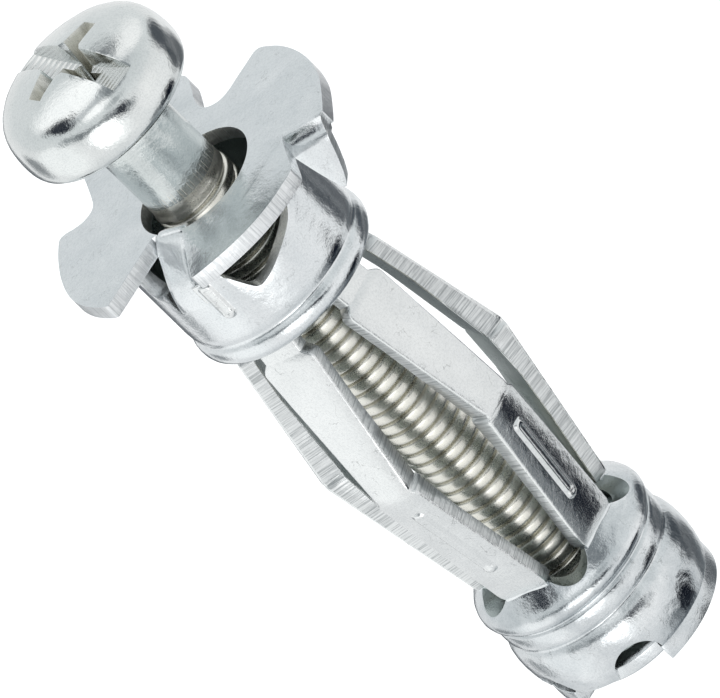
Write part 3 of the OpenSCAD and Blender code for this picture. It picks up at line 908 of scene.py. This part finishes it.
# ------------------------------------------------------------------ tail
def build_tail():
    f = FOOT_Z
    out = [(4.30, f - 0.06), (4.36, f - 0.08), (4.52, f - 0.2), (4.79, f - 0.45), (5.06, f - 0.68), (5.27, f - 0.88),
           (5.44, f - 1.1), (5.53, f - 1.33), (5.56, f - 1.55), (5.51, f - 1.77), (5.39, f - 1.94), (5.26, f - 2.04),
           (5.21, f - 2.12), (5.22, f - 2.2), (5.29, f - 2.27), (5.34, f - 2.4), (5.35, f - 2.8), (5.34, f - 3.15),
           (5.29, f - 3.3), (5.24, f - 3.38), (5.24, f - 3.46), (5.31, f - 3.56), (5.45, f - 3.76), (5.56, f - 4.05),
           (5.63, f - 4.5), (5.65, f - 5.0), (5.62, f - 5.55), (5.55, f - 6.1), (5.46, f - 6.5), (5.38, f - 6.8)]
    inn = [(4.48, f - 6.8), (4.58, f - 6.4), (4.7, f - 5.6), (4.72, f - 4.8), (4.68, f - 4.4), (4.53, f - 3.95), (4.32, f - 3.6),
           (4.28, f - 3.3), (4.28, f - 2.2), (4.48, f - 1.8), (4.54, f - 1.5), (4.48, f - 1.2), (4.14, f - 0.9), (3.77, f - 0.55),
           (3.5, f - 0.3), (3.46, f - 0.12), (3.52, f - 0.06)]
    tail = revolve("tail_shell", out + inn, 180, [M_TAIL, M_EDGE_R, M_INNER_SHADE], 0, 40)
    # inward faces take the darker inside material: painted shade
    inside(tail, 2)
    cutters = []
    for k in range(5):
        a = TAU * k / 5
        n = 32
        pts = [(1.3 * math.cos(TAU * q / n), 0.98 * math.sin(TAU * q / n) + (f + 0.28)) for q in range(n)]
        pts = [(x, z if z < f + 0.28 else f + 2.2 if abs(x) < 1.29 else z) for x, z in pts]
        lower = [(1.32 * math.cos(math.radians(d)), f + 0.25 + 1.02 * math.sin(math.radians(d))) for d in range(180, 361, 10)]
        poly = lower + [(1.32, f + 2), (-1.32, f + 2)]
        # the cut faces of the slots take the darker inside material: painted shade
        cutters.append(prism("c_slot", poly, 2.5, 7.0, [M_INNER_SHADE], 0, radial_xf(a)))
    for deg in (-9, -69, 111, 171):
        r = 1.4
        poly = [(r * math.cos(math.radians(d)), TAIL_Z + 0.05 + r * 1.02 * math.sin(math.radians(d))) for d in range(0, 181, 10)]
        poly += [(-r, TAIL_Z - 1), (r, TAIL_Z - 1)]
        cutters.append(prism("c_notch", poly, 3.0, 7.0, [M_EDGE_R], 0, radial_xf(math.radians(deg))))
    cut(tail, cutters)
    bevel(tail, 0.08, 2, 38)
    soft(tail, 36)
    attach(tail, "tail")
    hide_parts("sleeve_tail")

    # rounded knuckles on which the legs' feet turn
    for i in range(1, 6):
        az = leg_az(i)
        er = np.array((math.cos(az), math.sin(az), 0.0))
        et = np.array((-math.sin(az), math.cos(az), 0.0))
        verts, faces = [], []
        n, m = 20, 6
        c = (FOLD_R - 0.33, FOOT_Z - 0.12)
        W = FOOT_HW - 0.16
        ring = []
        for s in range(m + 1):
            x = lerp(-W, W, s / m)
            sc = 0.86 if s in (0, m) else 1.0
            for k in range(n):
                a = TAU * k / n
                verts.append(er * (c[0] + 0.33 * sc * math.cos(a)) + et * x + np.array((0, 0, c[1] + 0.30 * sc * math.sin(a))))
        for s in range(m):
            for k in range(n):
                l = (k + 1) % n
                faces.append((s * n + k, s * n + l, (s + 1) * n + l, (s + 1) * n + k))
        faces.append(tuple(range(n))[::-1])
        faces.append(tuple(range(m * n, (m + 1) * n)))
        k = new_obj(f"foot_knuckle_{i}", verts, faces, [M_ZINC])
        fix_normals(k)
        soft(k, 50)
        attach(k, "tail")

    # --- nut
    z = TAIL_Z
    body = revolve("nut_body", [(2.62, z - 1.05), (4.0, z - 1.05), (4.12, z - 0.95), (4.12, z - 0.25), (3.95, z - 0.05), (3.5, z + 0.1),
                                (3.42, z + 0.4), (3.42, z + 2.2), (3.7, z + 2.6), (4.1, z + 2.8), (4.12, z + 4.35), (3.55, z + 4.7), (2.9, z + 4.7),
                                (2.6, z + 4.45), (2.5, z + 4.2), (2.5, z - 0.6)], 96, [M_NUT, M_INNER_SHADE], 0, 40)
    # the nut's bore takes the darker inside material: painted shade
    for q in body.data.polygons:
        if q.center.z > (z - 0.1) * MM and q.center.z < (z + 4.5) * MM:
            q.material_index = 1
    bevel(body, 0.05, 2, 35)
    soft(body, 35)
    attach(body, "tail")
    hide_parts("threaded_nut")
    for q, (a0, a1) in enumerate(((5, 120), (185, 300))):
        n = 60
        verts, faces = [], []
        prof = [(4.05, z - 0.02), (5.34, z - 0.02), (5.36, z - 0.5), (5.34, z - 1.05), (4.05, z - 1.05)]
        P = len(prof)
        for k in range(n + 1):
            a = math.radians(lerp(a0, a1, k / n))
            for r, zz in prof:
                verts.append((r * math.cos(a), r * math.sin(a), zz))
        for k in range(n):
            for j in range(P):
                l = (j + 1) % P
                faces.append((k * P + j, (k + 1) * P + j, (k + 1) * P + l, k * P + l))
        faces.append(tuple(range(P)))
        faces.append(tuple(range(n * P, (n + 1) * P))[::-1])
        lip = new_obj(f"nut_lip_{q + 1}", verts, faces, [M_NUT])
        fix_normals(lip)
        bevel(lip, 0.1, 3, 40)
        soft(lip, 35)
        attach(lip, "tail")


build_tail()

# ------------------------------------------------------------------ camera
SC = bpy.context.scene
CAM = {"lens": 865.3511,
       "rot": [[0.27664216, -0.39540826, 0.87585468], [0.72659358, 0.68255181, 0.07864342], [-0.62891246, 0.6146343, 0.47612371]],
       "pos": [776.7173, 69.87505, 409.15732]}
cam_d = bpy.data.cameras.new("camera")
cam = bpy.data.objects.new("camera", cam_d)
SC.collection.objects.link(cam)
cam_d.sensor_fit = "HORIZONTAL"
cam_d.sensor_width = 36.0
cam_d.lens = CAM["lens"]
cam_d.clip_start, cam_d.clip_end = 0.05, 50
cam.matrix_world = Matrix([r + [p * MM] for r, p in zip(CAM["rot"], CAM["pos"])] + [[0, 0, 0, 1]])
SC.camera = cam

# ------------------------------------------------------------------ floor, world and lights
fm_ = bpy.data.materials.new("floor_white")
fm_.use_nodes = True
fb = fm_.node_tree.nodes["Principled BSDF"]
fb.inputs["Base Color"].default_value = (0.92, 0.92, 0.92, 1)
fb.inputs["Roughness"].default_value = 0.9
fb.inputs["Emission Color"].default_value = (1, 1, 1, 1)
fb.inputs["Emission Strength"].default_value = 0.55
FZ = -0.060
fl = new_obj("floor", [(-3000, -3000, FZ / MM), (3000, -3000, FZ / MM), (3000, 3000, FZ / MM), (-3000, 3000, FZ / MM)], [(0, 1, 2, 3)], [fm_])
fl.visible_glossy = False
fl.visible_shadow = False


def build_world():
    w = bpy.data.worlds.new("studio")
    SC.world = w
    w.use_nodes = True
    nt = w.node_tree
    nt.nodes.clear()
    out = nt.nodes.new("ShaderNodeOutputWorld")
    bg = nt.nodes.new("ShaderNodeBackground")
    nt.links.new(bg.outputs[0], out.inputs[0])
    tc = nt.nodes.new("ShaderNodeTexCoord")
    sep = nt.nodes.new("ShaderNodeSeparateXYZ")
    nt.links.new(tc.outputs["Generated"], sep.inputs[0])
    # soft vertical fall-off: white below and around, greyer overhead
    r = nt.nodes.new("ShaderNodeValToRGB")
    r.color_ramp.interpolation = "EASE"
    e = r.color_ramp.elements
    e[0].position, e[0].color = 0.0, (0.55, 0.58, 0.60, 1)
    e[1].position, e[1].color = 1.0, (0.60, 0.63, 0.65, 1)
    for p, c in ((0.12, (0.84, 0.86, 0.87)), (0.30, (0.94, 0.95, 0.955)), (0.50, (0.86, 0.875, 0.88)), (0.64, (0.78, 0.81, 0.82)), (0.82, (0.72, 0.755, 0.765))):
        x = e.new(p)
        x.color = (*c, 1)
    mr = nt.nodes.new("ShaderNodeMapRange")
    mr.inputs["From Min"].default_value = -1
    mr.inputs["From Max"].default_value = 1
    nt.links.new(sep.outputs["Z"], mr.inputs["Value"])
    nt.links.new(mr.outputs["Result"], r.inputs["Fac"])
    cur = r.outputs["Color"]

    def patch(cur, az, el, inner, outer, color, amount=1.0, squash=(1, 1, 1)):
        d = nt.nodes.new("ShaderNodeVectorMath")
        d.operation = "DOT_PRODUCT"
        v = (math.cos(math.radians(el)) * math.cos(math.radians(az)), math.cos(math.radians(el)) * math.sin(math.radians(az)), math.sin(math.radians(el)))
        nt.links.new(tc.outputs["Generated"], d.inputs[0])
        d.inputs[1].default_value = v
        m = nt.nodes.new("ShaderNodeMapRange")
        m.interpolation_type = "SMOOTHSTEP"
        m.inputs["From Min"].default_value = math.cos(math.radians(outer))
        m.inputs["From Max"].default_value = math.cos(math.radians(inner))
        m.inputs["To Min"].default_value = 0
        m.inputs["To Max"].default_value = amount
        nt.links.new(d.outputs["Value"], m.inputs["Value"])
        mx = nt.nodes.new("ShaderNodeMix")
        mx.data_type = "RGBA"
        nt.links.new(m.outputs["Result"], mx.inputs["Factor"])
        nt.links.new(cur, mx.inputs[6])
        mx.inputs[7].default_value = (*color, 1)
        return mx.outputs[2]

    for p in PATCHES:
        cur = patch(cur, *p)
    nt.links.new(cur, bg.inputs["Color"])
    bg.inputs["Strength"].default_value = 1.0


PATCHES = [
    # azimuth, elevation, inner and outer angle, colour, amount
    (-10, -14, 10, 24, (1.22, 1.23, 1.23), 1.0),
    (-12, 52, 9, 20, (1.22, 1.23, 1.23), 1.0),
    (-140, 66, 14, 30, (1.20, 1.21, 1.21), 1.0),
    (-80, -14, 14, 34, (1.08, 1.10, 1.10), 1.0),
    (138, 42, 10, 24, (1.02, 1.03, 1.03), 1.0),
    (56, -12, 6, 17, (0.96, 0.97, 0.97), 0.9),
    (77, -46, 11, 16, (0.006, 0.009, 0.017), 1.0),
    (96, -60, 6, 14, (0.06, 0.07, 0.082), 0.9),
    (50, -51, 6, 14, (0.14, 0.16, 0.175), 0.85),
    (119, -6, 11, 25, (0.055, 0.066, 0.080), 0.96),
    (108, -27, 7, 12, (0.050, 0.060, 0.072), 0.93),
    (134, -36, 9, 20, (0.05, 0.06, 0.072), 0.9),
    (14, 2, 7, 13, (0.012, 0.017, 0.028), 0.97),
    (26, -5, 4, 9, (0.20, 0.225, 0.24), 0.8),
    (2, 9, 4, 10, (0.10, 0.115, 0.13), 0.8),
    (-11, 12, 3, 9, (0.12, 0.14, 0.155), 0.8),
    (-26, 14, 3, 9, (0.12, 0.14, 0.155), 0.8),
    (-42, 15, 5, 12, (0.10, 0.12, 0.135), 0.85),
    (-60, 18, 4, 11, (0.22, 0.25, 0.265), 0.8),
    (18, 30, 4, 12, (0.30, 0.33, 0.345), 0.7),
    (38, 62, 8, 18, (0.18, 0.20, 0.215), 0.8),
    (75, 72, 8, 20, (0.20, 0.225, 0.24), 0.8),
    (-98, 57, 9, 17, (0.012, 0.017, 0.028), 0.97),
    (-70, 51, 7, 12, (0.012, 0.017, 0.028), 0.97),
    (-122, -20, 6, 14, (0.16, 0.18, 0.195), 0.8),
    (-162, -30, 9, 20, (0.09, 0.105, 0.12), 0.9),
    (100, -76, 12, 24, (0.11, 0.13, 0.15), 0.85),
    (152, -46, 8, 18, (0.14, 0.16, 0.175), 0.8),
    (170, 50, 4, 11, (0.10, 0.115, 0.13), 0.8),
]
build_world()


def area(name, az, el, dist, size, power, color=(1, 1, 1)):
    d = bpy.data.lights.new(name, "AREA")
    d.shape = "DISK"
    d.size = size
    d.energy = power
    d.color = color
    o = bpy.data.objects.new(name, d)
    SC.collection.objects.link(o)
    a, e = math.radians(az), math.radians(el)
    p = Vector((math.cos(e) * math.cos(a), math.cos(e) * math.sin(a), math.sin(e))) * dist + Vector((0, 0, -0.012))
    o.location = p
    o.rotation_euler = (Vector((0, 0, -0.012)) - p).to_track_quat("-Z", "Y").to_euler()
    return o


area("key", -18, -6, 0.6, 0.36, 0.25)

SC.view_settings.view_transform = "Standard"
SC.view_settings.look = "None"
